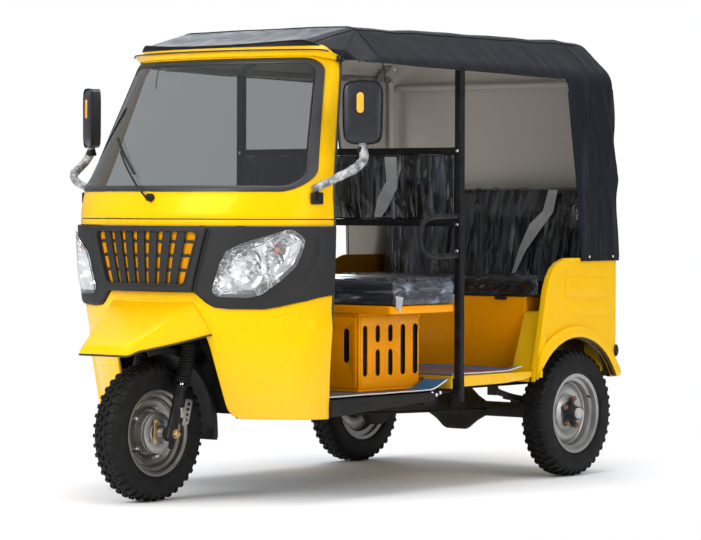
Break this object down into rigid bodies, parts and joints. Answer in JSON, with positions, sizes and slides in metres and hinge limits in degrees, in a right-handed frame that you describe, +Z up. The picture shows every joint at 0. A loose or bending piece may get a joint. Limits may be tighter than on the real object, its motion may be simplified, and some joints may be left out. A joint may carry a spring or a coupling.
{
  "type": "auto rickshaw",
  "caption": "Three-wheeled motor rickshaw with a moulded cab front, slatted grille, driver's seat over the engine, passenger bench and fabric roof.",
  "frame": {"origin": "on the ground under the middle of the vehicle", "axes": "the front faces -Y, +X is the vehicle's left side, +Z is up"},
  "size_m": [1.5712, 2.5944, 1.852],
  "materials": {
    "body_paint": "gloss",
    "black_paint": "satin",
    "charcoal_plastic": "matte",
    "lamp_lens": "clear",
    "lamp_chrome": "mirror",
    "screen_glass": "clear",
    "rubber_seal": "satin",
    "mirror_plastic": "satin",
    "mirror_arm_wrap": "gloss",
    "floor_mat": "matte",
    "seat_vinyl": "satin",
    "engine_iron": "rough",
    "canopy_cloth": "matte",
    "fork_steel": "satin",
    "spring_steel": "satin",
    "rim_silver": "satin",
    "tyre_rubber": "matte",
    "grip_rubber": "matte",
    "lamp_red": "gloss",
    "guard_plastic": "satin"
  },
  "bodies": {
    "root": {"front_mask": "body_paint", "front_panel": "charcoal_plastic", "grille_back": "body_paint", "headlamp_bowls": "lamp_chrome", "headlamp_lenses": "lamp_lens", "front_beak": "body_paint", "screen_frame": "body_paint", "screen_seal": "rubber_seal", "screen_glass": "screen_glass", "roof_visor": "body_paint", "wiper": "black_paint", "wheelhouse": "black_paint", "dashboard": "charcoal_plastic", "chassis_frame": "black_paint", "steering_head": "black_paint", "sill_beams": "black_paint", "front_floor": "black_paint", "front_mat": "floor_mat", "rear_floor": "body_paint", "rear_mat": "floor_mat", "seat_box": "body_paint", "driver_cushion": "seat_vinyl", "engine_block": "engine_iron", "partition_frame": "black_paint", "grab_loops": "black_paint", "partition_pad": "seat_vinyl", "bench_box": "body_paint", "bench_hinges": "black_paint", "bench_backrest": "seat_vinyl", "rear_body": "body_paint", "wheel_boxes": "body_paint", "rear_lamps": "lamp_red", "canopy": "canopy_cloth", "roof_frame": "black_paint", "mirror_heads": "mirror_plastic", "mirror_arms": "mirror_arm_wrap", "rear_axle": "black_paint", "leaf_springs": "black_paint", "prop_shaft": "black_paint", "muffler": "spring_steel", "brake_rod": "spring_steel"},
    "steering": {"fork": "fork_steel", "fork_springs": "spring_steel", "handlebar": "black_paint", "handlebar_grips": "grip_rubber", "front_mudguard": "guard_plastic"},
    "front_wheel": {"front_rim": "rim_silver", "front_tyre": "tyre_rubber"},
    "rear_wheel_left": {"rear_rim_left": "rim_silver", "rear_tyre_left": "tyre_rubber"},
    "rear_wheel_right": {"rear_rim_right": "rim_silver", "rear_tyre_right": "tyre_rubber"},
    "bench_lid": {"bench_cushion": "seat_vinyl"}
  },
  "joints": [
    {"name": "steering_turn", "type": "hinge", "parent": "root", "child": "steering", "pos_m": [0, -0.99025, 0.25271], "axis": [0, 0.309, 0.9511], "range_deg": [-35, 35]},
    {"name": "front_wheel_spin", "type": "hinge", "parent": "steering", "child": "front_wheel", "pos_m": [0, -1.03115, 0.266], "axis": [1, 0, 0], "continuous": true},
    {"name": "rear_wheel_left_spin", "type": "hinge", "parent": "root", "child": "rear_wheel_left", "pos_m": [0.575, 0.94885, 0.266], "axis": [1, 0, 0], "continuous": true},
    {"name": "rear_wheel_right_spin", "type": "hinge", "parent": "root", "child": "rear_wheel_right", "pos_m": [-0.575, 0.94885, 0.266], "axis": [1, 0, 0], "continuous": true},
    {"name": "bench_lid_lift", "type": "hinge", "parent": "root", "child": "bench_lid", "pos_m": [0, 0.77455, 0.751], "axis": [1, 0, 0], "range_deg": [0, 80]}
  ]
}
